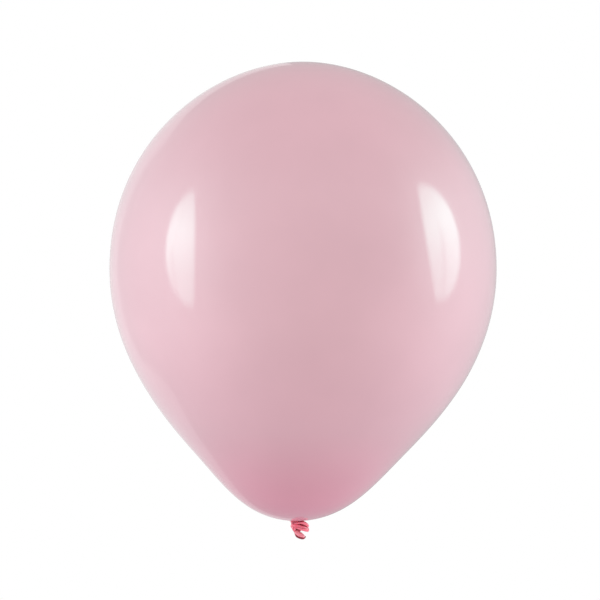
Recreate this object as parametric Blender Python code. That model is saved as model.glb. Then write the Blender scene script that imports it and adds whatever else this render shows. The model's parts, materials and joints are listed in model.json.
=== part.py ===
"""An inflated latex balloon, tied off with an overhand knot in its own neck.

Units are metres, +Z is up and -Y is the front. The origin is on the belly's vertical axis,
level with the lowest point of the rolled lip. The pieces from top to bottom are the envelope,
the neck, the knot (a core strand and the turn wrapped round it), the tail and the rolled lip.
Each moving piece has its origin on its joint's axis and is the child of the piece it hangs on.
"""

import math

import bmesh
import bpy
from mathutils import Vector

MM = 0.001
GAP = 0.3 * MM  # clearance between neighbouring pieces

# Envelope: a pear outline in three cubic arcs, turned about the vertical axis
BELLY_RADIUS = 150.0 * MM
CROWN_RISE = 160.3 * MM  # widest level up to the crown
BELLY_DROP = 195.5 * MM  # widest level down to the bottom pole
CROWN_HANDLE = 70.7 * MM
UPPER_BELLY_HANDLE = 98.9 * MM
LOWER_BELLY_HANDLE = 74.3 * MM
CONE_RADIUS = 77.2 * MM  # the straightest stretch of the lower outline
CONE_DROP = 147.9 * MM
CONE_ANGLE = math.radians(42.6)  # from the vertical
CONE_HANDLE_ABOVE = 33.5 * MM
CONE_HANDLE_BELOW = 32.8 * MM
POLE_HANDLE = 35.9 * MM
NECK_HOLE_RADIUS = 5.0 * MM
WALL = 0.4 * MM
LEAN = 4.9 * MM  # how far the neck end sits to the left of the belly's axis
LEAN_START_DROP = 80.0 * MM
LEAN_POWER = 1.5
ENVELOPE_SEGMENTS = 56
ENVELOPE_STEPS = (11, 10, 10)  # rings in each of the three arcs

# Levels of the small pieces, up from the lowest point of the lip
POLE_LEVEL = 14.3 * MM
SWAY_LEVEL = 12.2 * MM  # the knot rocks on the ball at the foot of the neck
SWING_LEVEL = 5.6 * MM  # the tail swings on the ball at the foot of the knot

# Neck: a pleated cone with a ball at its foot
NECK_COLLAR_RADIUS = NECK_HOLE_RADIUS - GAP - 0.05 * MM
NECK_COLLAR_TOP = 15.5 * MM
NECK_WAIST_RADIUS = 1.75 * MM
NECK_BALL_RADIUS = 2.0 * MM
NECK_PLEATS = 9
NECK_PLEAT_DEPTH = 0.12
NECK_SEGMENTS = 36

# Knot: a spool-shaped core strand inside one oval turn of the neck
CORE_RADIUS = 1.5 * MM
CORE_CUP_WALL = 0.5 * MM
CORE_BALL_RADIUS = 1.9 * MM
CORE_SEGMENTS = 28
WRAP_LEFT = 3.35 * MM  # centre line, from the core's axis
WRAP_RIGHT = 6.8 * MM
WRAP_HALF_DEPTH = 4.0 * MM
WRAP_LEVEL = 9.1 * MM
WRAP_TILT_RISE = 0.3 * MM  # the right lobe sits this much higher, the left this much lower
WRAP_HALF_WIDTHS = (1.4 * MM, 2.4 * MM)  # at the left and at the right lobe
WRAP_HALF_HEIGHTS = (2.1 * MM, 2.7 * MM)
WRAP_CREASES = 3
WRAP_CREASE_DEPTH = 0.05
WRAP_STEPS = 36
WRAP_SEGMENTS = 18

# Tail and rolled lip: a flattened strand that leaves the knot down to the right
TAIL_SLOPE = math.radians(35.0)  # below the horizontal
TAIL_LENGTH = 6.1 * MM  # knot ball to the middle of the lip
TAIL_CUP_ANGLE = math.radians(50.0)
TAIL_CUP_RADIUS = CORE_BALL_RADIUS + GAP
TAIL_CUP_STEPS = 4
TAIL_FLAT_HALF_WIDTH = 1.0 * MM
TAIL_FLAT_START = 2.5 * MM  # along the tail, where its underside turns level
TAIL_FLAT_END = 4.3 * MM
TAIL_FLAT_HALF_HEIGHT = 2.1 * MM  # at the start
# distance along the tail, half height and half width of its outside
TAIL_SECTIONS = (
    (1.2 * MM, 2.45 * MM, 2.45 * MM),
    (TAIL_FLAT_START, TAIL_FLAT_HALF_HEIGHT, 2.2 * MM),
    (
        TAIL_FLAT_END,
        TAIL_FLAT_HALF_HEIGHT - (TAIL_FLAT_END - TAIL_FLAT_START) * math.tan(TAIL_SLOPE),
        1.75 * MM,
    ),
    (5.2 * MM, 0.55 * MM, 1.7 * MM),
    (6.3 * MM, 0.55 * MM, 1.65 * MM),
    (6.9 * MM, 0.4 * MM, 1.3 * MM),
)
LIP_HALF_HEIGHT = 1.7 * MM  # of the bead's centre line
LIP_HALF_WIDTH = 3.3 * MM
LIP_BEAD_RADIUS = 0.75 * MM
LIP_STEPS = 32
LIP_SEGMENTS = 12

SMOOTH_ANGLE = math.radians(40.0)


# ---------------------------------------------------------------- shape helpers


def cubic(start, start_handle, end_handle, end, t):
    """A point on a cubic arc."""
    s = 1.0 - t
    return (
        start * s**3
        + start_handle * (3 * s * s * t)
        + end_handle * (3 * s * t * t)
        + end * t**3
    )


def mix(a, b, t):
    return a + (b - a) * t


def ellipse_ring(centre, side, up, half_side, half_up, count):
    """Points round an ellipse, counted from side towards up."""
    ring = []
    for i in range(count):
        a = math.tau * i / count
        ring.append(centre + side * (half_side * math.cos(a)) + up * (half_up * math.sin(a)))
    return ring


def turned_rings(profile, count, radius_factor=None):
    """Rings about the vertical axis for a list of (radius, level) pairs."""
    rings = []
    for radius, level in profile:
        ring = []
        for i in range(count):
            a = math.tau * i / count
            r = radius * (radius_factor(a, level) if radius_factor else 1.0)
            ring.append(Vector((r * math.cos(a), r * math.sin(a), level)))
        rings.append(ring)
    return rings


def ball_profile(radius, level, first_angle, last_angle, steps):
    """(radius, level) pairs on a sphere, by angle down from its top."""
    pairs = []
    for i in range(steps + 1):
        a = mix(first_angle, last_angle, i / steps)
        pairs.append((radius * math.sin(a), level + radius * math.cos(a)))
    return pairs


def skin(name, rings, first_pole=None, last_pole=None, closed=False):
    """A mesh over a row of rings, with a pole point at either end or joined end to end."""
    bm = bmesh.new()
    loops = [[bm.verts.new(p) for p in ring] for ring in rings]
    count = len(rings[0])
    pairs = list(zip(loops, loops[1:]))
    if closed:
        pairs.append((loops[-1], loops[0]))
    for a, b in pairs:
        for i in range(count):
            j = (i + 1) % count
            bm.faces.new((a[i], a[j], b[j], b[i]))
    for pole, loop in ((first_pole, loops[0]), (last_pole, loops[-1])):
        if pole is not None:
            tip = bm.verts.new(pole)
            for i in range(count):
                bm.faces.new((loop[i], loop[(i + 1) % count], tip))
    bmesh.ops.recalc_face_normals(bm, faces=bm.faces)
    mesh = bpy.data.meshes.new(name)
    bm.to_mesh(mesh)
    bm.free()
    mesh.shade_smooth()
    mesh.set_sharp_from_angle(angle=SMOOTH_ANGLE)
    return mesh


def latex(name, colour, roughness):
    """A plain latex material."""
    material = bpy.data.materials.new(name)
    material.use_nodes = True
    shader = material.node_tree.nodes["Principled BSDF"]
    shader.inputs["Base Color"].default_value = (*colour, 1.0)
    shader.inputs["Roughness"].default_value = roughness
    shader.inputs["Metallic"].default_value = 0.0
    return material


def place(name, mesh, material, pivot, parent=None, parent_pivot=None):
    """Makes the object, with its origin at pivot and its mesh counted from there."""
    part = bpy.data.objects.new(name, mesh)
    bpy.context.scene.collection.objects.link(part)
    mesh.materials.append(material)
    part.location = pivot
    if parent is not None:
        part.parent = parent
        part.location = pivot - parent_pivot
    return part


# ---------------------------------------------------------------- envelope


def lean_at(level):
    """How far the skin's centre sits from the belly's axis at a level."""
    drop = POLE_LEVEL + BELLY_DROP - level
    share = (drop - LEAN_START_DROP) / (BELLY_DROP - LEAN_START_DROP)
    return -LEAN * min(max(share, 0.0), 1.0) ** LEAN_POWER


def envelope_arcs():
    """The outline's three arcs, crown to pole, as (radius, level) control points."""
    belly = POLE_LEVEL + BELLY_DROP
    cone_way = Vector((-math.sin(CONE_ANGLE), -math.cos(CONE_ANGLE)))
    crown_point = Vector((0.0, belly + CROWN_RISE))
    belly_point = Vector((BELLY_RADIUS, belly))
    cone_point = Vector((CONE_RADIUS, belly - CONE_DROP))
    pole_point = Vector((0.0, POLE_LEVEL))
    along = Vector((1.0, 0.0))
    up = Vector((0.0, 1.0))
    return (
        (
            crown_point,
            crown_point + along * CROWN_HANDLE,
            belly_point + up * UPPER_BELLY_HANDLE,
            belly_point,
        ),
        (
            belly_point,
            belly_point - up * LOWER_BELLY_HANDLE,
            cone_point - cone_way * CONE_HANDLE_ABOVE,
            cone_point,
        ),
        (
            cone_point,
            cone_point + cone_way * CONE_HANDLE_BELOW,
            pole_point + along * POLE_HANDLE,
            pole_point,
        ),
    )


def neck_hole_share(arc):
    """Where along the last arc the outline reaches the neck hole's radius, by halving."""
    low, high = 0.0, 1.0
    for _ in range(40):
        middle = (low + high) / 2
        if cubic(*arc, middle).x > NECK_HOLE_RADIUS:
            low = middle
        else:
            high = middle
    return low


def envelope_profile():
    """(radius, level) pairs from just below the crown down to the neck hole."""
    arcs = envelope_arcs()
    last_shares = (1.0, 1.0, neck_hole_share(arcs[2]))
    profile = []
    for arc, steps, last in zip(arcs, ENVELOPE_STEPS, last_shares):
        for i in range(1, steps + 1):
            profile.append(cubic(*arc, last * i / steps))
    return profile


def neck_axis():
    """The point on the neck's axis at the neck hole's rim."""
    hole_level = envelope_profile()[-1].y
    return Vector((lean_at(hole_level), 0.0, hole_level))


def build_envelope(material):
    profile = envelope_profile()
    rings = turned_rings(profile, ENVELOPE_SEGMENTS)
    for ring in rings:
        for point in ring:
            point.x += lean_at(point.z)
    crown = Vector((0.0, 0.0, POLE_LEVEL + BELLY_DROP + CROWN_RISE))
    envelope = place("envelope", skin("envelope", rings, first_pole=crown), material, Vector())
    wall = envelope.modifiers.new("wall", "SOLIDIFY")
    wall.thickness = WALL
    wall.offset = -1.0
    wall.use_even_offset = True
    return envelope


# ---------------------------------------------------------------- neck


def pleat_factor(angle, level):
    """The neck is gathered into pleats below the envelope's hole."""
    below_hole = POLE_LEVEL - level
    above_ball = level - SWAY_LEVEL - NECK_BALL_RADIUS / 3
    if below_hole <= 0.0 or above_ball <= 0.0:
        return 1.0
    return 1.0 - NECK_PLEAT_DEPTH * (0.5 - 0.5 * math.cos(NECK_PLEATS * angle))


def build_neck(material, envelope, axis_point):
    """The collar sits in the envelope's hole, and the foot is the knot's ball."""
    waist_angle = math.asin(NECK_WAIST_RADIUS / NECK_BALL_RADIUS)
    waist_level = SWAY_LEVEL + NECK_BALL_RADIUS * math.cos(waist_angle)
    collar_foot = POLE_LEVEL - 0.1 * MM
    profile = [
        (0.75 * NECK_COLLAR_RADIUS, NECK_COLLAR_TOP),
        (NECK_COLLAR_RADIUS, NECK_COLLAR_TOP - 0.4 * MM),
        (NECK_COLLAR_RADIUS, collar_foot),
        (mix(NECK_COLLAR_RADIUS, NECK_WAIST_RADIUS, 0.33), mix(collar_foot, waist_level, 0.25)),
        (mix(NECK_COLLAR_RADIUS, NECK_WAIST_RADIUS, 0.7), mix(collar_foot, waist_level, 0.6)),
    ]
    profile += ball_profile(NECK_BALL_RADIUS, SWAY_LEVEL, waist_angle, math.radians(168), 7)
    rings = turned_rings(profile, NECK_SEGMENTS, pleat_factor)
    top = Vector((0.0, 0.0, NECK_COLLAR_TOP))
    foot = Vector((0.0, 0.0, SWAY_LEVEL - NECK_BALL_RADIUS))
    pivot = axis_point
    drop = Vector((0.0, 0.0, pivot.z))
    rings = [[p - drop for p in ring] for ring in rings]
    mesh = skin("neck", rings, first_pole=top - drop, last_pole=foot - drop)
    return place("neck", mesh, material, pivot, envelope, Vector())


# ---------------------------------------------------------------- knot


def build_knot_core(material, neck, axis_point):
    """A spool: a cup round the neck's ball, a waist inside the wrap, and a ball for the tail."""
    cup = NECK_BALL_RADIUS + GAP
    cup_rim_angle = math.radians(92)
    waist_top = SWAY_LEVEL - cup - 0.5 * MM
    ball_top_angle = math.asin(CORE_RADIUS / CORE_BALL_RADIUS)
    profile = ball_profile(cup, SWAY_LEVEL, math.radians(168), cup_rim_angle, 6)
    outer = cup + CORE_CUP_WALL
    profile += ball_profile(outer, SWAY_LEVEL, cup_rim_angle, math.radians(140), 4)
    profile.append((CORE_RADIUS, waist_top))
    profile += ball_profile(CORE_BALL_RADIUS, SWING_LEVEL, ball_top_angle, math.radians(168), 8)
    rings = turned_rings(profile, CORE_SEGMENTS)
    pivot = Vector((axis_point.x, 0.0, SWAY_LEVEL))
    drop = Vector((0.0, 0.0, SWAY_LEVEL))
    rings = [[p - drop for p in ring] for ring in rings]
    cup_floor = Vector((0.0, 0.0, -cup))
    foot = Vector((0.0, 0.0, SWING_LEVEL - CORE_BALL_RADIUS)) - drop
    mesh = skin("knot_core", rings, first_pole=cup_floor, last_pole=foot)
    return place("knot_core", mesh, material, pivot, neck, axis_point)


def wrap_centre(turn):
    """A point on the wrap's centre line, counted from the core's axis."""
    middle = (WRAP_RIGHT - WRAP_LEFT) / 2
    half = (WRAP_RIGHT + WRAP_LEFT) / 2
    return Vector(
        (
            middle + half * math.cos(turn),
            WRAP_HALF_DEPTH * math.sin(turn),
            WRAP_LEVEL + WRAP_TILT_RISE * math.cos(turn),
        )
    )


def build_knot_wrap(material, core, axis_point):
    """The turn is fat at its right lobe, thin at its left, and creased along its length."""
    pivot = Vector((axis_point.x, 0.0, SWAY_LEVEL))
    drop = Vector((0.0, 0.0, SWAY_LEVEL))
    small_turn = math.radians(0.5)
    rings = []
    for i in range(WRAP_STEPS):
        turn = math.tau * i / WRAP_STEPS
        way = wrap_centre(turn + small_turn) - wrap_centre(turn - small_turn)
        outward = way.cross(Vector((0.0, 0.0, 1.0))).normalized()
        up = outward.cross(way).normalized()
        right_share = (1.0 + math.cos(turn)) / 2
        half_width = mix(*WRAP_HALF_WIDTHS, right_share**2)
        half_height = mix(*WRAP_HALF_HEIGHTS, right_share)
        centre = wrap_centre(turn) - drop
        ring = ellipse_ring(Vector(), outward, up, half_width, half_height, WRAP_SEGMENTS)
        for j, point in enumerate(ring):
            around = math.tau * j / WRAP_SEGMENTS
            crease = math.cos(WRAP_CREASES * around + turn)
            ring[j] = centre + point * (1.0 - WRAP_CREASE_DEPTH * (1.0 - crease))
        rings.append(ring)
    mesh = skin("knot_wrap", rings, closed=True)
    return place("knot_wrap", mesh, material, pivot, core, pivot)


# ---------------------------------------------------------------- tail and lip


def tail_frame():
    """The tail's direction and the direction across it, up to the right."""
    way = Vector((math.cos(TAIL_SLOPE), 0.0, -math.sin(TAIL_SLOPE)))
    across = Vector((math.sin(TAIL_SLOPE), 0.0, math.cos(TAIL_SLOPE)))
    return way, across


def flattened_ring(centre, across, half_height, half_width):
    """An oval whose top and bottom are flat over the tail's flat width."""
    flat = min(TAIL_FLAT_HALF_WIDTH, half_width)
    corner = half_width - flat
    ring = []
    for side, first in ((1, -90), (-1, 90)):
        for i in range(7):
            a = math.radians(first + 30 * i)
            y = side * flat + corner * math.cos(a)
            ring.append(centre + Vector((0.0, y, 0.0)) + across * (half_height * math.sin(a)))
    return ring


def build_tail(material, core, axis_point):
    """A shallow cup under the knot's ball, then a strand that flattens towards the mouth."""
    way, across = tail_frame()
    pivot = Vector((axis_point.x, 0.0, SWING_LEVEL))
    rings = []
    for i in range(1, TAIL_CUP_STEPS + 1):
        a = TAIL_CUP_ANGLE * i / TAIL_CUP_STEPS
        centre = way * (TAIL_CUP_RADIUS * math.cos(a))
        radius = TAIL_CUP_RADIUS * math.sin(a)
        rings.append(flattened_ring(centre, across, radius, radius))
    for along, half_height, half_width in TAIL_SECTIONS:
        rings.append(flattened_ring(way * along, across, half_height, half_width))
    cup_floor = way * TAIL_CUP_RADIUS
    end = way * (TAIL_SECTIONS[-1][0] + 0.2 * MM)
    mesh = skin("tail", rings, first_pole=cup_floor, last_pole=end)
    core_pivot = Vector((axis_point.x, 0.0, SWAY_LEVEL))
    return place("tail", mesh, material, pivot, core, core_pivot)


def build_rolled_lip(material, tail, axis_point):
    """An oval bead round the tail's flattened mouth."""
    way, across = tail_frame()
    tail_pivot = Vector((axis_point.x, 0.0, SWING_LEVEL))
    pivot = tail_pivot + way * TAIL_LENGTH
    sideways = Vector((0.0, 1.0, 0.0))
    rings = []
    for i in range(LIP_STEPS):
        a = math.tau * i / LIP_STEPS
        centre = sideways * (LIP_HALF_WIDTH * math.cos(a)) + across * (LIP_HALF_HEIGHT * math.sin(a))
        outward = sideways * (LIP_HALF_HEIGHT * math.cos(a)) + across * (LIP_HALF_WIDTH * math.sin(a))
        outward.normalize()
        rings.append(
            ellipse_ring(centre, outward, way, LIP_BEAD_RADIUS, LIP_BEAD_RADIUS, LIP_SEGMENTS)
        )
    mesh = skin("rolled_lip", rings, closed=True)
    return place("rolled_lip", mesh, material, pivot, tail, tail_pivot)


# ---------------------------------------------------------------- the balloon


def build():
    for old in list(bpy.data.objects):
        bpy.data.objects.remove(old)
    pastel = latex("pastel_latex", (0.72, 0.47, 0.53), 0.25)
    gathered = latex("gathered_latex", (0.80, 0.25, 0.33), 0.35)
    knotted = latex("knotted_latex", (0.90, 0.16, 0.24), 0.35)
    wrapped = latex("wrapped_latex", (0.93, 0.20, 0.28), 0.35)
    loose = latex("loose_latex", (0.88, 0.17, 0.26), 0.4)
    rolled = latex("rolled_latex", (0.95, 0.27, 0.36), 0.4)
    axis_point = neck_axis()
    envelope = build_envelope(pastel)
    neck = build_neck(gathered, envelope, axis_point)
    core = build_knot_core(knotted, neck, axis_point)
    build_knot_wrap(wrapped, core, axis_point)
    tail = build_tail(loose, core, axis_point)
    build_rolled_lip(rolled, tail, axis_point)


build()
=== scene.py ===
"""The looks of an inflated, knotted latex balloon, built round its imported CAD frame."""

import json
import math
from collections import namedtuple

import bmesh
import bpy
import numpy as np
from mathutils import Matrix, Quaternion, Vector


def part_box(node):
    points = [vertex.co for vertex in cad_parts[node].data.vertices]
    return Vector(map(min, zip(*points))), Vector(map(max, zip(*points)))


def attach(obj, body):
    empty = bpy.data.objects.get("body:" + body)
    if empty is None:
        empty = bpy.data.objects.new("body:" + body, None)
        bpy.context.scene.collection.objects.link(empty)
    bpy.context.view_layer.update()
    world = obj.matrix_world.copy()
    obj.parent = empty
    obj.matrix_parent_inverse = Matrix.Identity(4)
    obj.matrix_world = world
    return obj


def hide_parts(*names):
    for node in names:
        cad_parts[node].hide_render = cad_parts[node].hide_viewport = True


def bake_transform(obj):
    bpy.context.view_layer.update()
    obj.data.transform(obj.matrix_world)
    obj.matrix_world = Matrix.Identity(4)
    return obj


MM = 0.001

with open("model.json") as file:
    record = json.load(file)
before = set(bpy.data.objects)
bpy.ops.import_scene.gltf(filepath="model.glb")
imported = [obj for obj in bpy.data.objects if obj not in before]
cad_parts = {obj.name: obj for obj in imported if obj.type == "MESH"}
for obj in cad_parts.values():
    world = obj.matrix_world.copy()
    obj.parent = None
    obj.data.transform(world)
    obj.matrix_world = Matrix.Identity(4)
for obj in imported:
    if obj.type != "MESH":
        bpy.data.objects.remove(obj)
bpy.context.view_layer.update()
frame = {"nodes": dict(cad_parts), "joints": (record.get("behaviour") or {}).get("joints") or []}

# ---------------------------------------------------------------- sizes from the frame

SKIN_LOW, SKIN_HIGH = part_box("envelope")
NECK_LOW, NECK_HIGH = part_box("neck")
BELLY_RADIUS = (SKIN_HIGH.x - SKIN_LOW.x) / 2
NECK_X = (NECK_LOW.x + NECK_HIGH.x) / 2
HOLE_LEVEL = SKIN_LOW.z
CROWN_LEVEL = SKIN_HIGH.z
BELLY_LEVEL = max(frame["nodes"]["envelope"].data.vertices, key=lambda v: v.co.x).co.z
BELLY = Vector((0.0, 0.0, BELLY_LEVEL))
THROAT = Vector((NECK_X, 0.0, HOLE_LEVEL))
UP = Vector((0.0, 0.0, 1.0))
PIVOTS = {joint["name"]: Vector(joint["pos_m"]) for joint in frame["joints"]}

# The pear outline's three cubic arcs, as shares of the belly's radius
POLE_DROP = 1.3033
CROWN_HANDLE = 0.4713
UPPER_BELLY_HANDLE = 0.6593
LOWER_BELLY_HANDLE = 0.4953
CONE_RADIUS = 0.5147
CONE_DROP = 0.9860
CONE_ANGLE = math.radians(42.6)
CONE_HANDLE_ABOVE = 0.2233
CONE_HANDLE_BELOW = 0.2187
POLE_HANDLE = 0.2393
# The centre line's lean to the left: its reach at the pole, its start and its growth
LEAN = 0.03267
LEAN_START_DROP = 0.5333
LEAN_POWER = 1.5
POLE_LEVEL = BELLY_LEVEL - POLE_DROP * BELLY_RADIUS


def cubic(points, t):
    """Points on a cubic arc, for an array of shares t."""
    a, b, c, d = (np.array(p, float) for p in points)
    t = np.asarray(t, float)[:, None]
    s = 1.0 - t
    return a * s**3 + 3 * b * s * s * t + 3 * c * s * t * t + d * t**3


def smooth(low, high, x):
    """0 up to low and 1 from high on, with an S-shaped step between them."""
    t = np.clip((x - low) / (high - low), 0.0, 1.0)
    return t * t * (3.0 - 2.0 * t)


def outline_arcs():
    """The pear outline, crown to pole, as (radius, level) control points."""
    r = BELLY_RADIUS
    way = np.array((-math.sin(CONE_ANGLE), -math.cos(CONE_ANGLE))) * r
    crown = np.array((0.0, CROWN_LEVEL))
    belly = np.array((r, BELLY_LEVEL))
    cone = np.array((CONE_RADIUS * r, BELLY_LEVEL - CONE_DROP * r))
    pole = np.array((0.0, POLE_LEVEL))
    along = np.array((r, 0.0))
    up = np.array((0.0, r))
    return (
        (crown, crown + along * CROWN_HANDLE, belly + up * UPPER_BELLY_HANDLE, belly),
        (belly, belly - up * LOWER_BELLY_HANDLE, cone - way * CONE_HANDLE_ABOVE, cone),
        (cone, cone + way * CONE_HANDLE_BELOW, pole + along * POLE_HANDLE, pole),
    )


def lean_at(level):
    """How far the skin's centre sits from the belly's axis at each level."""
    drop = (BELLY_LEVEL - np.asarray(level, float)) / BELLY_RADIUS
    share = np.clip((drop - LEAN_START_DROP) / (POLE_DROP - LEAN_START_DROP), 0.0, 1.0)
    return -LEAN * BELLY_RADIUS * share**LEAN_POWER


# ---------------------------------------------------------------- mesh helpers


def mesh_object(name, points, faces):
    """A smooth-shaded object whose faces all point out."""
    mesh = bpy.data.meshes.new(name)
    mesh.from_pydata([tuple(p) for p in points], [], faces)
    mesh.validate()
    bm = bmesh.new()
    bm.from_mesh(mesh)
    bmesh.ops.recalc_face_normals(bm, faces=bm.faces)
    bm.to_mesh(mesh)
    bm.free()
    mesh.shade_smooth()
    made = bpy.data.objects.new(name, mesh)
    bpy.context.scene.collection.objects.link(made)
    return made


def loft(name, rings, first_pole=None, last_pole=None, closed=False):
    """A skin over a row of equal rings, given as an array of shape (rings, points, 3)."""
    rows, count = rings.shape[:2]
    points = list(rings.reshape(-1, 3))
    faces = []
    for a in range(rows if closed else rows - 1):
        b = (a + 1) % rows
        for i in range(count):
            j = (i + 1) % count
            faces.append((a * count + i, a * count + j, b * count + j, b * count + i))
    for pole, row in ((first_pole, 0), (last_pole, rows - 1)):
        if pole is not None:
            tip = len(points)
            points.append(np.asarray(pole, float))
            faces += [(row * count + i, row * count + (i + 1) % count, tip) for i in range(count)]
    return mesh_object(name, points, faces)


def mark(mesh, name, values):
    """Stores one number for each point, which a material can read by name."""
    attribute = mesh.attributes.new(name, "FLOAT", "POINT")
    attribute.data.foreach_set("value", np.asarray(values, np.float32).ravel())


def thicken(piece, thickness):
    """Gives an open skin a wall on its inner side."""
    wall = piece.modifiers.new("wall", "SOLIDIFY")
    wall.thickness = thickness
    wall.offset = -1.0


def dress(piece, material, replaced=()):
    """Gives a piece its material and hides the CAD nodes it stands in for."""
    piece.data.materials.append(material)
    if replaced:
        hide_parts(*replaced)


# ---------------------------------------------------------------- skin

SKIN_SEGMENTS = 256
SKIN_STEPS = 44
SKIN_THICKNESS = 0.3 * MM
THROAT_MARGIN = 0.35 * MM
THROAT_RADIUS = (NECK_HIGH.x - NECK_LOW.x) / 2 + THROAT_MARGIN
PUCKER_STEPS = 16
PUCKER_START = 2.5 * THROAT_RADIUS  # inside this radius the rings are close enough for puckers
PUCKERS = 17
PUCKER_REACH = 2.4 * MM
PUCKER_DEPTH = 0.13 * MM
# Waves round the throat that make the puckers uneven: strength, count and start
SPACING_WAVES = ((0.9, 3, 0.0), (0.5, 5, 1.0))
DEPTH_WAVES = ((0.4, 5, 1.0),)
RIDGE_POWER = 0.7  # under 1, so ridges are sharper than the creases between them


def ripple(angle, waves):
    """The sum of some waves round the throat."""
    return sum(strength * np.sin(count * angle + start) for strength, count, start in waves)


def gathers(angle):
    """How the gathered latex folds round the throat, from -1 in a crease to 1 on a ridge."""
    wave = np.cos(PUCKERS * angle + ripple(angle, SPACING_WAVES))
    return 1.0 - 2.0 * np.abs(0.5 - 0.5 * wave) ** RIDGE_POWER


def pucker_rise(radius, angle):
    """How far the puckers lift the skin round the throat, fading outwards."""
    fade = np.exp(-np.clip(radius - THROAT_RADIUS, 0.0, None) / PUCKER_REACH)
    return -PUCKER_DEPTH * fade * gathers(angle) * (1.0 + ripple(angle, DEPTH_WAVES))


def turned(radius, level, angle):
    """Rings turned round the leaning centre line, puckered below the belly."""
    rings = np.zeros((len(radius), len(angle), 3))
    rings[:, :, 0] = radius[:, None] * np.cos(angle) + lean_at(level)[:, None]
    rings[:, :, 1] = radius[:, None] * np.sin(angle)
    rings[:, :, 2] = level[:, None]
    rings[:, :, 2] += pucker_rise(radius[:, None], angle) * (level < BELLY_LEVEL)[:, None]
    return rings


def skin_profile():
    """The outline's radii and levels, crown to throat, with finer steps round the throat."""
    t = np.linspace(0.0, 1.0, SKIN_STEPS + 1)[1:]
    radius, level = np.vstack([cubic(arc, t) for arc in outline_arcs()]).T
    lower = level < BELLY_LEVEL
    coarse = ~(lower & (radius < PUCKER_START))
    fine = np.linspace(PUCKER_START, THROAT_RADIUS, PUCKER_STEPS)
    fine_level = np.interp(fine, radius[lower][::-1], level[lower][::-1])
    return np.append(radius[coarse], fine), np.append(level[coarse], fine_level)


def build_skin(material):
    """The blown-up skin: a high-resolution pear, leaning a little towards its neck."""
    angle = np.linspace(0.0, math.tau, SKIN_SEGMENTS, endpoint=False)
    rings = turned(*skin_profile(), angle)
    skin = loft("balloon_skin", rings, first_pole=(0.0, 0.0, CROWN_LEVEL))
    thicken(skin, SKIN_THICKNESS)
    dress(skin, material, ("envelope",))
    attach(skin, "envelope")


# ---------------------------------------------------------------- throat

COLLAR_WIDTH = 0.7 * MM
COLLAR_STEPS = 8
COLLAR_LIFT = 0.09 * MM
COLLAR_TUCK = 1.6  # over 1, so the collar's outer edge dips below the skin's surface
# The least share of the lit colour that the painted crease shade leaves on the collar
COLLAR_SHADE_LIFT = 0.7
OUTLINE_SAMPLES = 400
THROAT_LENGTH = 2.9 * MM
THROAT_TAPER = 0.9 * MM
THROAT_STEPS = 22
THROAT_SEGMENTS = 340
THROAT_WALL = 0.2 * MM
THROAT_PLEAT_DEPTH = 0.75 * MM
THROAT_TWIST = 0.5  # radians
WAIST_POWER = 0.8  # under 1, so the throat draws in soonest near its top
FALL_POWER = 0.3  # over 0, so its rings start to fall at once
PLEATED_FROM = 0.4  # the share of the throat's length after which the pleats are at full depth


def collar_rings(angle):
    """Rings that lie on the skin round the throat, the outermost tucked into it."""
    below = cubic(outline_arcs()[2], np.linspace(0.0, 1.0, OUTLINE_SAMPLES))[::-1]
    out = np.linspace(1.0, 0.0, COLLAR_STEPS)
    radius = THROAT_RADIUS + COLLAR_WIDTH * out
    rings = turned(radius, np.interp(radius, below[:, 0], below[:, 1]), angle)
    rings[:, :, 2] -= COLLAR_LIFT * (1.0 - COLLAR_TUCK * out**3)[:, None]
    return rings


def throat_rings(angle, top):
    """Rings that run down from the collar's inner edge, drawing in and winding a little."""
    down = np.linspace(0.0, 1.0, THROAT_STEPS)[1:, None]
    waist = THROAT_RADIUS - THROAT_TAPER * np.sin(down * math.pi / 2) ** WAIST_POWER
    fall = THROAT_LENGTH * (1.0 - np.cos(down * math.pi / 2) * (1.0 - down) ** FALL_POWER)
    crease = 0.5 - 0.5 * gathers(angle)
    radius = waist - THROAT_PLEAT_DEPTH * smooth(0.0, PLEATED_FROM, down) * crease
    twisted = angle + THROAT_TWIST * down
    across = NECK_X + radius * np.cos(twisted)
    return np.stack([across, radius * np.sin(twisted), top - fall], axis=-1)


def build_neck(material):
    """The gathered throat: a collar on the skin whose pleats run down into the knot."""
    angle = np.linspace(0.0, math.tau, THROAT_SEGMENTS, endpoint=False)
    collar = collar_rings(angle)
    throat = throat_rings(angle, collar[-1, :, 2])
    foot = (NECK_X, 0.0, throat[-1, :, 2].mean())
    gather = loft("neck_gather", np.concatenate([collar, throat]), last_pole=foot)
    # Painted shade: the fold marks darken the pleats' creases, less on the collar and fully at
    # the foot
    shade = np.tile(0.5 + 0.5 * gathers(angle), (COLLAR_STEPS + len(throat), 1))
    shade[:COLLAR_STEPS] = COLLAR_SHADE_LIFT + (1.0 - COLLAR_SHADE_LIFT) * shade[:COLLAR_STEPS]
    mark(gather.data, "fold", np.append(shade, 0.0))
    thicken(gather, THROAT_WALL)
    dress(gather, material, ("neck",))
    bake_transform(gather)


# ---------------------------------------------------------------- strands

STRAND_STEPS = 140
STRAND_SEGMENTS = 56
END_STEPS = 7.0  # steps over which an open strand's end rounds off
END_STUB = 0.02  # keeps the last ring open, for its pole
FOLD_WANDER = 0.5  # makes the folds unequal in width
FOLD_DRIFT = 0.2  # makes them stray as they run along the strand

# A strand's folds: their count and depth, how many of them they wind past from end to end,
# and where they start. On a closed strand wind is a whole number, so that the folds meet.
Folds = namedtuple("Folds", "count depth wind start")


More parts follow.
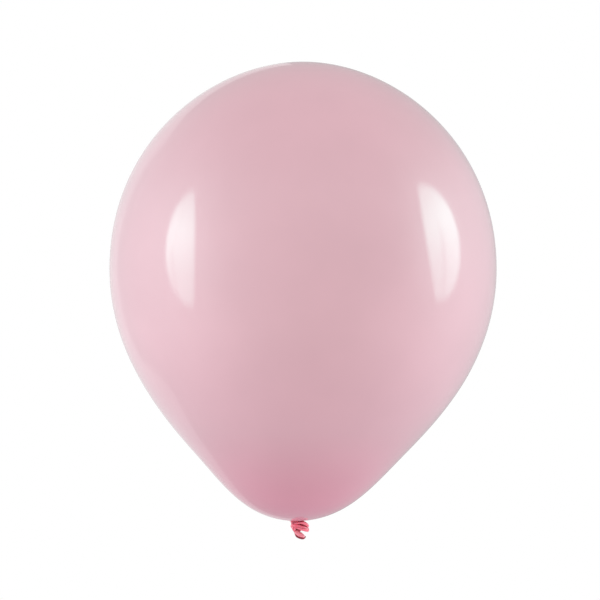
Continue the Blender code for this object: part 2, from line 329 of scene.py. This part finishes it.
def through(guides, count, closed):
    """A smooth path through guide rows, with every column interpolated alike."""
    rows = np.array(guides, float)
    n = len(rows)
    if closed:
        rows = np.vstack([rows[-1], rows, rows[0], rows[1]])
        t = np.linspace(0.0, n, count, endpoint=False)
    else:
        rows = np.vstack([2 * rows[0] - rows[1], rows, 2 * rows[-1] - rows[-2]])
        t = np.linspace(0.0, n - 1, count)
    k = np.minimum(t.astype(int), len(rows) - 4)
    f = (t - k)[:, None]
    a, b, c, d = rows[k], rows[k + 1], rows[k + 2], rows[k + 3]
    return 0.5 * (2 * b + (c - a) * f + (2 * a - 5 * b + 4 * c - d) * f * f
                  + (3 * b - a - 3 * c + d) * f**3)


def fold_height(angle, share, folds):
    """Rounded folds parted by sharp creases: 1 on top of a fold and 0 in a crease."""
    wander = FOLD_WANDER * np.sin(3.0 * angle + folds.start)
    drift = FOLD_DRIFT * np.sin(2.0 * share * math.tau + angle + folds.start)
    phase = 0.5 * (folds.count * angle + wander + drift) + math.pi * folds.wind * share
    return 1.0 - (1.0 - np.abs(np.sin(phase))) ** 2


def unit(vectors):
    """The same directions, each of length 1."""
    return vectors / np.linalg.norm(vectors, axis=1)[:, None]


def cross_axes(centre, sideways, closed):
    """Two directions across a path at each of its points, the first one nearest to sideways."""
    if closed:
        way = unit(np.roll(centre, -1, axis=0) - np.roll(centre, 1, axis=0))
    else:
        way = unit(np.gradient(centre, axis=0))
    side = unit(np.array(sideways) - way * (way @ np.array(sideways))[:, None])
    return side, np.cross(way, side)


def rounded_ends(share):
    """How full an open strand is along its length: 1, but for its rounded ends."""
    steps = np.minimum(share, 1.0 - share) * STRAND_STEPS
    short = 1.0 - np.clip(steps / END_STEPS, 0.0, 1.0)
    return np.sqrt(np.clip(1.0 - short**2, END_STUB, 1.0))


def strand(name, anchor, guides, sideways, folds, closed=False, around=STRAND_SEGMENTS):
    """A soft swept strand. Guide rows are x, y, z from its anchor and two half sizes, in mm."""
    rows = through(guides, STRAND_STEPS, closed) * MM
    centre = rows[:, :3] + np.array(anchor)
    side, across = cross_axes(centre, sideways, closed)
    share = np.linspace(0.0, 1.0, STRAND_STEPS, endpoint=not closed)[:, None]
    angle = np.linspace(0.0, math.tau, around, endpoint=False)
    height = fold_height(angle, share, folds)
    fullness = 1.0 - folds.depth * (1.0 - height)
    if not closed:
        fullness *= rounded_ends(share)
    rings = (centre[:, None, :]
             + side[:, None, :] * (np.cos(angle) * rows[:, 3:4] * fullness)[:, :, None]
             + across[:, None, :] * (np.sin(angle) * rows[:, 4:5] * fullness)[:, :, None])
    poles = (None, None) if closed else (centre[0], centre[-1])
    made = loft(name, rings, *poles, closed)
    # The fold marks say where the latex materials paint shade into the creases
    mark(made.data, "fold", height if closed else np.append(height, (1.0, 1.0)))
    return made


def bend(piece):
    """Bakes the piece's placement into its mesh."""
    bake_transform(piece)


# ---------------------------------------------------------------- knot

# Guide rows from the pivot at the knot's top, in mm: x, y, z and two half sizes
UPPER_TURN = (
    (-0.6, -3.2, 0.1, 1.2, 1.3),
    (2.6, -3.7, 0.75, 1.35, 1.35),
    (5.5, -3.0, 0.45, 1.65, 1.4),
    (8.1, -0.6, -1.7, 1.7, 1.4),
    (7.0, 2.4, -1.7, 1.5, 1.3),
    (3.2, 3.6, -0.7, 1.35, 1.3),
    (-0.8, 3.1, -0.3, 1.3, 1.3),
    (-2.8, 1.6, -0.4, 1.2, 1.2),
    (-3.0, -1.0, -0.5, 1.2, 1.2),
)
FRONT_TURN = (
    (-1.7, -3.9, -1.7, 1.7, 1.2),
    (1.6, -4.3, -2.5, 1.85, 1.3),
    (5.4, -3.6, -3.7, 1.95, 1.4),
    (8.3, -0.7, -4.75, 1.75, 1.4),
    (6.9, 2.7, -4.6, 1.65, 1.3),
    (3.0, 4.0, -3.8, 1.65, 1.3),
    (-1.0, 3.3, -3.1, 1.6, 1.3),
    (-3.2, 1.5, -2.6, 1.5, 1.1),
    (-3.7, -1.6, -1.9, 1.5, 1.0),
)
CORE_STRAND = (
    (-1.5, -1.2, 0.5, 2.3, 2.0),
    (-2.1, -2.6, -1.0, 2.1, 1.9),
    (-2.2, -3.1, -3.2, 1.7, 1.7),
    (-2.0, -3.0, -4.8, 1.15, 1.1),
    (-1.6, -3.0, -6.1, 0.65, 0.55),
)
HEART = (
    (0.0, 0.2, 0.5, 3.4, 2.9),
    (0.6, 0.4, -1.6, 3.4, 2.9),
    (1.2, 0.8, -3.8, 3.0, 2.6),
    (0.6, 0.5, -5.8, 1.9, 1.9),
    (0.2, 0.2, -6.6, 1.2, 1.3),
)
RIGHT = (1.0, 0.0, 0.0)


def knot_strand(name, guides, sideways, folds, material, replaced=(), closed=False):
    """A knot strand laid out from the knot's pivot and given its material."""
    pivot = PIVOTS["knot_sway"]
    made = strand(name, pivot, guides, sideways, folds, closed)
    dress(made, material, replaced)
    bend(made)


def build_knot(wrap_look, core_look, heart_look):
    """The tied knot: two turns of latex slung to the right and the strand that ties them."""
    knot_strand("knot_upper_turn", UPPER_TURN, UP, Folds(count=2, depth=0.22, wind=0, start=0.7),
                wrap_look, ("knot_wrap",), closed=True)
    knot_strand("knot_front_turn", FRONT_TURN, UP, Folds(count=3, depth=0.17, wind=1, start=2.3),
                wrap_look, closed=True)
    knot_strand("knot_core_strand", CORE_STRAND, RIGHT,
                Folds(count=3, depth=0.14, wind=0.3, start=1.1),
                core_look, ("knot_core",))
    knot_strand("knot_heart", HEART, RIGHT, Folds(count=7, depth=0.20, wind=0.3, start=2.1),
                heart_look)


# ---------------------------------------------------------------- tail and lip

# Guide rows from the pivot at the tail's root, in mm: x, y, z and two half sizes
TAIL_FILM = (
    (-0.9, -1.0, 2.0, 1.0, 1.0),
    (-0.6, -1.1, 0.6, 1.8, 1.5),
    (0.7, -0.9, -1.0, 2.3, 1.9),
    (2.8, -0.7, -2.3, 2.3, 2.0),
    (4.9, -0.4, -3.35, 1.7, 1.8),
    (6.2, -0.2, -3.85, 0.95, 1.2),
)
LIP_RING = (
    (-1.1, -1.5, -1.6, 0.42, 0.42),
    (0.1, -2.0, -3.4, 0.6, 0.6),
    (2.8, -2.0, -4.65, 0.64, 0.64),
    (4.9, -1.6, -4.95, 0.62, 0.62),
    (6.3, -0.6, -4.2, 0.6, 0.6),
    (6.4, 0.7, -3.5, 0.56, 0.56),
    (4.9, 1.9, -3.6, 0.58, 0.58),
    (2.9, 2.2, -3.1, 0.62, 0.62),
    (0.8, 1.5, -2.4, 0.55, 0.55),
    (-0.8, 0.1, -1.8, 0.45, 0.45),
)
SQUARE_TO_TAIL = (0.57, 0.0, 0.82)
LIP_SEGMENTS = 28


def build_tail(material):
    """The loose end below the knot: a flattened, softly creased film."""
    pivot = PIVOTS["tail_swing"]
    film = strand("tail_film", pivot, TAIL_FILM, SQUARE_TO_TAIL,
                  Folds(count=2, depth=0.1, wind=0, start=0.0))
    dress(film, material, ("tail",))
    bend(film)


def build_lip(material):
    """The mouth's rolled edge: an elongated ring that curls round the loose end's foot."""
    ring = strand("lip_roll", PIVOTS["tail_swing"], LIP_RING, SQUARE_TO_TAIL,
                  Folds(count=2, depth=0.06, wind=2, start=0.9), closed=True, around=LIP_SEGMENTS)
    dress(ring, material, ("rolled_lip",))
    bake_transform(ring)


# ---------------------------------------------------------------- material helpers


def node_tree(owner):
    """The node tree of a material or a world."""
    owner.use_nodes = True
    return owner.node_tree


def feed(tree, node, inputs):
    """Sets a node's inputs, each to a plain value or to another node's output."""
    for key, value in inputs.items():
        if isinstance(value, bpy.types.NodeSocket):
            tree.links.new(value, node.inputs[key])
        else:
            node.inputs[key].default_value = value


def add(tree, kind, inputs=None, **settings):
    """Adds a shader node and gives its outputs."""
    node = tree.nodes.new("ShaderNode" + kind)
    for name, value in settings.items():
        setattr(node, name, value)
    feed(tree, node, inputs or {})
    return node.outputs


def calculate(tree, operation, *values):
    """One sum on single numbers."""
    return add(tree, "Math", dict(enumerate(values)), operation=operation)["Value"]


def map_range(tree, value, source, target=(0.0, 1.0), curve="LINEAR"):
    """A value carried over from one range to another and held at its ends."""
    inputs = {
        "Value": value,
        "From Min": source[0],
        "From Max": source[1],
        "To Min": target[0],
        "To Max": target[1],
    }
    return add(tree, "MapRange", inputs, interpolation_type=curve)["Result"]


def noise(tree, where, scale, detail):
    """Cloudy noise; scale is in clouds for each metre."""
    return add(tree, "TexNoise", {"Vector": where, "Scale": scale, "Detail": detail})["Fac"]


def bump(tree, height, strength, distance):
    """A surface normal that follows a height."""
    inputs = {"Height": height, "Strength": strength, "Distance": distance}
    return add(tree, "Bump", inputs)["Normal"]


def colour_ramp(tree, share, stops, curve="LINEAR"):
    """A colour that runs through stops, each one a share and a colour."""
    node = tree.nodes.new("ShaderNodeValToRGB")
    node.color_ramp.interpolation = curve
    elements = node.color_ramp.elements
    while len(elements) < len(stops):
        elements.new(0.5)
    for element, (position, colour) in zip(elements, stops):
        element.position = position
        element.color = (*colour, 1.0)
    feed(tree, node, {"Fac": share})
    return node.outputs["Color"]


def mix(tree, share, first, second, kind="RGBA"):
    """From the first to the second, colours or numbers, as the share goes from 0 to 1."""
    return add(tree, "Mix", {"Factor": share, "A": first, "B": second}, data_type=kind)["Result"]


# ---------------------------------------------------------------- materials

NOISE_SPAN = (0.3, 0.7)  # what noise mostly covers

# Stretched latex: its colours run from the pole up to the crown; the deeper low stops
# are partly thicker latex and partly painted shade
HEIGHT_COLOURS = (
    (0.0, (0.53, 0.165, 0.25)),
    (0.05, (0.595, 0.226, 0.305)),
    (0.20, (0.622, 0.331, 0.388)),
    (0.42, (0.73, 0.425, 0.48)),
    (0.70, (0.785, 0.475, 0.535)),
    (1.0, (0.83, 0.475, 0.545)),
)
FLARE_COLOUR = (0.88, 0.18, 0.26)
FLARE_WIDTH = 4.0 * MM
DULL_WITHIN = 6 * MM  # of the throat's edge
GLOSSY_BEYOND = 22 * MM

# Unstretched latex, with painted shade in its creases, hollows and undersides
MOTTLING_OF_FOLDS = 0.25
# Fold heights up to which creases are painted in shade, and from which the ridge colour holds
CREASE_SHADE_UP_TO = 0.12
RIDGE_FROM = 0.75
# How far ambient occlusion looks for the hollows that are painted in shade
HOLLOW_SHADE_REACH = 2.6 * MM
HOLLOW_SHADE_SPAN = (0.3, 0.72)  # ambient occlusion, from a hollow painted in shade to open latex
SHADE_SPAN = (0.45, 0.95)  # how squarely a surface faces below, from lit to fully painted in shade
ROUGHNESS_SPREAD = (-0.06, 0.08)


def pastel_latex():
    """Stretched latex: pale where it is thin, deeper pink towards the thick neck end, with
    painted shade low down.
    """
    material = bpy.data.materials.new("pastel_latex_look")
    tree = node_tree(material)
    where = add(tree, "TexCoord")["Object"]
    level = add(tree, "SeparateXYZ", {"Vector": where})["Z"]
    height = map_range(tree, level, (POLE_LEVEL, CROWN_LEVEL))
    from_throat = add(tree, "VectorMath", {0: where, 1: THROAT}, operation="DISTANCE")["Value"]
    near = map_range(tree, from_throat, (THROAT_RADIUS + FLARE_WIDTH, THROAT_RADIUS),
                     curve="SMOOTHSTEP")
    flared = mix(tree, near, colour_ramp(tree, height, HEIGHT_COLOURS), (*FLARE_COLOUR, 1.0))
    cloud = noise(tree, where, scale=16.0, detail=3.0)
    thickness = map_range(tree, cloud, NOISE_SPAN, (0.978, 1.022))
    mottled = add(tree, "VectorMath", {0: flared, "Scale": thickness}, operation="SCALE")
    dulling = (THROAT_RADIUS + GLOSSY_BEYOND, THROAT_RADIUS + DULL_WITHIN)
    grain = noise(tree, where, scale=900.0, detail=2.0)
    feed(tree, tree.nodes["Principled BSDF"], {
        "Base Color": mottled["Vector"],
        "Roughness": map_range(tree, cloud, NOISE_SPAN, (0.46, 0.54)),
        "Normal": bump(tree, grain, strength=0.25, distance=0.02 * MM),
        "Sheen Weight": 0.08,
        "Sheen Roughness": 0.6,
        "Coat Weight": 1.0,
        "Coat Roughness": map_range(tree, from_throat, dulling, (0.07, 0.28)),
        "Coat IOR": 1.5,
    })
    return material


def coral_latex(name, crease, ridge, roughness, grain, underside_shade=0.75, below=(-0.42, 0.0, -0.91)):
    """Unstretched latex: thick, glossy, deeply coloured, with painted shade in creases, hollows
    and below.

    Ridge is its colour and crease the colour of its painted shade. The underside shade is how
    much of the ridge's colour the painted shade takes from surfaces that face the direction
    below."""
    material = bpy.data.materials.new(name)
    tree = node_tree(material)
    where = add(tree, "TexCoord")["Object"]
    cloud = noise(tree, where, scale=320.0, detail=3.0)
    # Painted shade: the crease colour fills the folds' creases, hollows found by ambient
    # occlusion and surfaces facing below
    fold = add(tree, "Attribute", attribute_name="fold")["Fac"]
    height = calculate(tree, "MULTIPLY_ADD", cloud, MOTTLING_OF_FOLDS, fold)
    crease_shaded = colour_ramp(tree, height, ((CREASE_SHADE_UP_TO, crease), (RIDGE_FROM, ridge)), "EASE")
    hollow = add(tree, "AmbientOcclusion", {"Distance": HOLLOW_SHADE_REACH}, samples=8)["AO"]
    normal = add(tree, "NewGeometry")["Normal"]
    under = add(tree, "VectorMath", {0: normal, 1: below}, operation="DOT_PRODUCT")["Value"]
    lit = map_range(tree, under, SHADE_SPAN, (1.0, 1.0 - underside_shade), "SMOOTHSTEP")
    painted_lit = calculate(tree, "MULTIPLY", map_range(tree, hollow, HOLLOW_SHADE_SPAN), lit)
    rough = [roughness + spread for spread in ROUGHNESS_SPREAD]
    pores = noise(tree, where, scale=1500.0, detail=2.0)
    feed(tree, tree.nodes["Principled BSDF"], {
        "Base Color": mix(tree, painted_lit, (*crease, 1.0), crease_shaded),
        "Roughness": map_range(tree, cloud, (0.0, 1.0), rough),
        "Normal": bump(tree, pores, strength=grain, distance=0.05 * MM),
        "Coat Weight": 0.6,
        "Coat Roughness": 0.12,
        "Subsurface Weight": 0.25,
        "Subsurface Radius": (1.0, 0.2, 0.2),
        "Subsurface Scale": 0.8 * MM,
    })
    return material


def gathered_latex():
    """The throat's pleats."""
    return coral_latex("gathered_latex_look", crease=(0.34, 0.0, 0.025), ridge=(1.0, 0.19, 0.28),
                       roughness=0.36, grain=0.3)


def wrapped_latex():
    """The knot's two turns."""
    return coral_latex("wrapped_latex_look", crease=(0.32, 0.0, 0.02), ridge=(1.0, 0.205, 0.285),
                       roughness=0.28, grain=0.2)


def knotted_latex():
    """The strand that ties the turns."""
    return coral_latex("knotted_latex_look", crease=(0.26, 0.0, 0.015), ridge=(1.0, 0.18, 0.26),
                       roughness=0.34, grain=0.2)


def knot_heart_shade_latex():
    """The latex inside the turns, dark all over as painted shade of the hollow between them."""
    return coral_latex("knot_heart_painted_shade_look", crease=(0.20, 0.0, 0.01), ridge=(0.72, 0.03, 0.07),
                       roughness=0.38, grain=0.2)


def loose_latex():
    """The tail's film, with painted shade on its left and lower sides."""
    return coral_latex("loose_latex_look", crease=(0.30, 0.01, 0.03), ridge=(1.0, 0.30, 0.37),
                       roughness=0.30, grain=0.2, underside_shade=0.9, below=(-0.75, 0.0, -0.66))


def rolled_latex():
    """The lip's roll, darker than the film it edges: partly its thicker latex, partly painted
    shade below.
    """
    return coral_latex("rolled_latex_look", crease=(0.05, 0.003, 0.01), ridge=(0.34, 0.015, 0.04),
                       roughness=0.34, grain=0.2, underside_shade=0.9)


# ---------------------------------------------------------------- camera

CAMERA_DISTANCE = 3.2
SENSOR_WIDTH = 36.0
FRAME_WIDTH = 0.46518  # what the picture spans at the balloon
AIM_X = -2.3 * MM
AIM_Z = BELLY_LEVEL - 24.3 * MM


def build_camera():
    """A distant camera that looks level at the balloon from its front."""
    camera = bpy.data.objects.new("camera", bpy.data.cameras.new("camera"))
    bpy.context.scene.collection.objects.link(camera)
    camera.location = (AIM_X, -CAMERA_DISTANCE, AIM_Z)
    camera.rotation_euler = (math.pi / 2, 0.0, 0.0)
    camera.data.sensor_width = SENSOR_WIDTH
    camera.data.lens = SENSOR_WIDTH * CAMERA_DISTANCE / FRAME_WIDTH
    bpy.context.scene.camera = camera


# ---------------------------------------------------------------- room and floor

ROOM_LIGHT = 0.92
ROOM_IN_REFLECTIONS = (0.52, 0.46)  # level with the balloon and below it, then overhead
OVERHEAD_FROM = 0.8  # the z of a direction, 1 for straight up
FLOOR_LEVEL = -0.35
FLOOR_RADIUS = 3.5
FLOOR_SEGMENTS = 96
FLOOR_RINGS = (1.0, 0.7, 0.4, 0.1)
FLOOR_COLOUR = (0.95, 0.95, 0.95)
FLOOR_FADE = (0.1, 0.85)  # shares of the floor's radius
FLOOR_PALENESS = 0.4  # the share of plain white light at its centre


def build_world():
    """White to the camera, a soft bright room to matt surfaces, a greyer one to glossy ones."""
    world = bpy.data.worlds.new("studio")
    bpy.context.scene.world = world
    tree = node_tree(world)
    rays = add(tree, "LightPath")
    where = add(tree, "TexCoord")["Generated"]
    height = add(tree, "SeparateXYZ", {"Vector": where})["Z"]
    room = map_range(tree, height, (0.0, OVERHEAD_FROM), ROOM_IN_REFLECTIONS, "SMOOTHSTEP")
    lighting = mix(tree, rays["Is Glossy Ray"], ROOM_LIGHT, room, "FLOAT")
    seen = mix(tree, rays["Is Camera Ray"], lighting, 1.0, "FLOAT")
    feed(tree, tree.nodes["Background"], {"Color": (1.0, 1.0, 1.0, 1.0), "Strength": seen})


def floor_look():
    """Pale cloth that turns into plain white light towards the floor's edge."""
    material = bpy.data.materials.new("floor_look")
    tree = node_tree(material)
    tree.nodes.remove(tree.nodes["Principled BSDF"])
    where = add(tree, "TexCoord")["Object"]
    out = add(tree, "VectorMath", {0: where}, operation="LENGTH")["Value"]
    fade = [share * FLOOR_RADIUS for share in FLOOR_FADE]
    white = map_range(tree, out, fade, (FLOOR_PALENESS, 1.0), "SMOOTHSTEP")
    cloth = add(tree, "BsdfDiffuse", {"Color": (*FLOOR_COLOUR, 1.0)})["BSDF"]
    glow = add(tree, "Emission")["Emission"]
    seen = add(tree, "MixShader", {"Fac": white, 1: cloth, 2: glow})["Shader"]
    feed(tree, tree.nodes["Material Output"], {"Surface": seen})
    return material


def build_floor():
    """A pale round floor well below the balloon that fades into the white surroundings."""
    angle = np.linspace(0.0, math.tau, FLOOR_SEGMENTS, endpoint=False)
    ring = np.stack([np.cos(angle), np.sin(angle), np.zeros_like(angle)], axis=-1)
    rings = np.stack([ring * FLOOR_RADIUS * share for share in FLOOR_RINGS])
    floor = loft("floor", rings, last_pole=(0.0, 0.0, 0.0))
    floor.location.z = FLOOR_LEVEL
    floor.data.materials.append(floor_look())
    floor.visible_diffuse = False
    floor.visible_glossy = False
    floor.visible_shadow = False


# ---------------------------------------------------------------- panels and lights

LIGHT_DISTANCE = 3.0
PANEL_COLUMNS = 33
PANEL_ROWS = 49
LEFT_RADIANCE = 6.0
RIGHT_RADIANCE = 5.4
SOFTBOX_TINT = (0.52, 1.0, 0.88)  # keeps the pink skin from burning out to pure red
SOFTBOX_GRAZING = (0.05, 0.09)
RIB_DARKNESS = 0.3
CARD_RADIANCE = 0.8
CARD_TINT = (1.0, 1.0, 1.0)
CARD_GRAZING = (-0.2, -0.1)
CARD_EDGE = 0.39  # in shares of the card's half width, as the foot's reach is
CARD_EDGE_BLUR = 0.03
CARD_FOOT_REACH = 0.5
CARD_FOOT_SPAN = (-0.3, -0.9)  # in shares of its half height
FILL_SIZE = 1.4
FILL_COLOUR = (0.74, 0.97, 1.0)
LEFT_FILL = 0.47
RIGHT_FILL = 0.57


def way_to_light(azimuth, elevation):
    """The way from the belly to a light; azimuth is counted from the front, to the right."""
    a, e = math.radians(azimuth), math.radians(elevation)
    return Vector((math.sin(a) * math.cos(e), -math.cos(a) * math.cos(e), math.sin(e)))


def place_light(light, way):
    """Sets a light down LIGHT_DISTANCE from the belly and gives the turn that faces it there."""
    bpy.context.scene.collection.objects.link(light)
    light.location = BELLY + way * LIGHT_DISTANCE
    return (BELLY - light.location).to_track_quat("-Z", "Y")


def panel_mesh(name, half_angles, glow):
    """A flat grid that spans twice the half angles from the belly, marked with its glow."""
    half_width, half_height = (LIGHT_DISTANCE * math.tan(math.radians(a)) for a in half_angles)
    u, v = np.meshgrid(np.linspace(-1, 1, PANEL_COLUMNS), np.linspace(-1, 1, PANEL_ROWS))
    points = np.stack([u * half_width, v * half_height, np.zeros_like(u)], axis=-1)
    corners = (0, 1, PANEL_COLUMNS + 1, PANEL_COLUMNS)
    faces = [
        [row * PANEL_COLUMNS + column + corner for corner in corners]
        for row in range(PANEL_ROWS - 1) for column in range(PANEL_COLUMNS - 1)
    ]
    mesh = bpy.data.meshes.new(name)
    mesh.from_pydata([tuple(p) for p in points.reshape(-1, 3)], [], faces)
    mark(mesh, "glow", glow(u, v))
    return mesh


def panel_look(name, way, tint, grazing):
    """Light that adds a panel's glow to the room's level, where the panel can be seen.

    A ray that starts too far round the balloon doesn't see the glow. Grazing says how far
    along the way to the panel, counted from the belly, a ray has to start to see any of it,
    and then to see all of it. Rays from below the hole, from the knot and tail, always do."""
    material = bpy.data.materials.new(name)
    tree = node_tree(material)
    tree.nodes.remove(tree.nodes["Principled BSDF"])
    ray = add(tree, "NewGeometry")
    length = add(tree, "LightPath")["Ray Length"]
    start = add(tree, "VectorMath", {0: ray["Incoming"], 1: length, 2: ray["Position"]},
                operation="MULTIPLY_ADD")["Vector"]
    along = add(tree, "VectorMath", {0: start, 1: way}, operation="DOT_PRODUCT")["Value"]
    facing = map_range(tree, along, [BELLY.dot(way) + g for g in grazing], curve="SMOOTHSTEP")
    level = add(tree, "SeparateXYZ", {"Vector": start})["Z"]
    hanging = calculate(tree, "LESS_THAN", level, HOLE_LEVEL)
    visible = calculate(tree, "MAXIMUM", facing, hanging)
    glow = add(tree, "Attribute", attribute_name="glow")["Fac"]
    extra = calculate(tree, "MULTIPLY", visible, glow)
    tinted = add(tree, "VectorMath", {0: tint, "Scale": extra}, operation="SCALE")["Vector"]
    room = [ROOM_IN_REFLECTIONS[0]] * 3
    total = add(tree, "VectorMath", {0: tinted, 1: room}, operation="ADD")["Vector"]
    light = add(tree, "Emission", {"Color": total})["Emission"]
    feed(tree, tree.nodes["Material Output"], {"Surface": light})
    return material


def glowing_panel(name, glow, tint, grazing, azimuth, elevation, half_angles, roll):
    """A panel that only shines in reflections, by glow(u, v) more than the room round it."""
    panel = bpy.data.objects.new(name, panel_mesh(name, half_angles, glow))
    way = way_to_light(azimuth, elevation)
    panel.rotation_mode = "QUATERNION"
    rolled = Quaternion((0.0, 0.0, 1.0), math.radians(roll))
    panel.rotation_quaternion = place_light(panel, way) @ rolled
    panel.data.materials.append(panel_look(name, way, tint, grazing))
    panel.visible_camera = False
    panel.visible_diffuse = False
    panel.visible_shadow = False


def lens_shape(u, v, tip, softness):
    """1 inside a soft lens: an ellipse's half left of its tips, a flatter bow right of them."""
    out = np.sqrt((np.clip(tip - u, 0.0, None) / (1.0 + tip)) ** 2 + v**2)
    round_side = 1.0 - smooth(1.0 - softness, 1.0, out)
    return round_side * (1.0 - smooth(1.0 - softness, 1.0, u + (1.0 - tip) * v**2))


def hump(x, centre, width):
    """A bell-shaped rise to 1."""
    return np.exp(-(((x - centre) / width) ** 2))


def hot_spot(v, height, reach, share):
    """1 at the hot spot's height, and less by its share far above and below."""
    return 1.0 - share + share * hump(v, height, reach)


def dark_rib(u, v, place, width, top, full):
    """1 but for an upright rib that starts at top and is full from a lower height on."""
    return 1.0 - RIB_DARKNESS * hump(u, place, width) * smooth(top, full, v)


def left_softbox_glow(u, v):
    """A lens with a hot spot high up and one faint dark rib low down."""
    shape = lens_shape(u, v, tip=0.25, softness=0.26)
    hot = hot_spot(v, height=0.22, reach=0.42, share=0.45)
    rib = dark_rib(u, v, place=-0.45, width=0.14, top=0.2, full=-0.1)
    return LEFT_RADIANCE * shape * hot * rib


def right_softbox_glow(u, v):
    """The left one's mirror image, with its rib in the middle."""
    shape = lens_shape(-u, v, tip=0.35, softness=0.24)
    hot = hot_spot(v, height=0.25, reach=0.5, share=0.42)
    rib = dark_rib(u, v, place=-0.1, width=0.13, top=0.3, full=0.05)
    return RIGHT_RADIANCE * shape * hot * rib


def card_glow(u, v):
    """An evenly lit white card whose front edge runs forward near its foot."""
    edge = CARD_EDGE + CARD_FOOT_REACH * smooth(*CARD_FOOT_SPAN, v)
    inside = 1.0 - smooth(edge - CARD_EDGE_BLUR, edge + CARD_EDGE_BLUR, u)
    return (CARD_RADIANCE - ROOM_IN_REFLECTIONS[0]) * inside


def side_fill(name, azimuth, elevation, brightness):
    """A broad soft light on matt surfaces only: white ones that face it show its brightness."""
    light = bpy.data.lights.new(name, "AREA")
    light.shape = "SQUARE"
    light.size = FILL_SIZE
    light.energy = brightness * (math.pi * LIGHT_DISTANCE) ** 2
    light.color = FILL_COLOUR
    lamp = bpy.data.objects.new(name, light)
    lamp.rotation_euler = place_light(lamp, way_to_light(azimuth, elevation)).to_euler()
    lamp.visible_camera = False
    lamp.visible_glossy = False


def build_lights():
    """Two softboxes and a card for the reflections, and two fills for the matt colour."""
    glowing_panel("softbox_left", left_softbox_glow, SOFTBOX_TINT, SOFTBOX_GRAZING,
                  azimuth=-76.5, elevation=7.3, half_angles=(12.2, 27.2), roll=11.0)
    glowing_panel("softbox_right", right_softbox_glow, SOFTBOX_TINT, SOFTBOX_GRAZING,
                  azimuth=91.5, elevation=10.2, half_angles=(15.9, 25.2), roll=0.0)
    glowing_panel("card_left_behind", card_glow, CARD_TINT, CARD_GRAZING,
                  azimuth=-152.0, elevation=-3.0, half_angles=(27.0, 32.0), roll=0.0)
    side_fill("fill_left", azimuth=-90.0, elevation=-22.0, brightness=LEFT_FILL)
    side_fill("fill_right", azimuth=106.0, elevation=-28.0, brightness=RIGHT_FILL)


def set_view():
    """Colours reach the picture as they are, with no film look over them."""
    view = bpy.context.scene.view_settings
    view.view_transform = "Standard"
    view.look = "None"


build_skin(pastel_latex())
build_neck(gathered_latex())
build_knot(wrapped_latex(), knotted_latex(), knot_heart_shade_latex())
build_tail(loose_latex())
build_lip(rolled_latex())
build_world()
build_floor()
build_lights()
build_camera()
set_view()
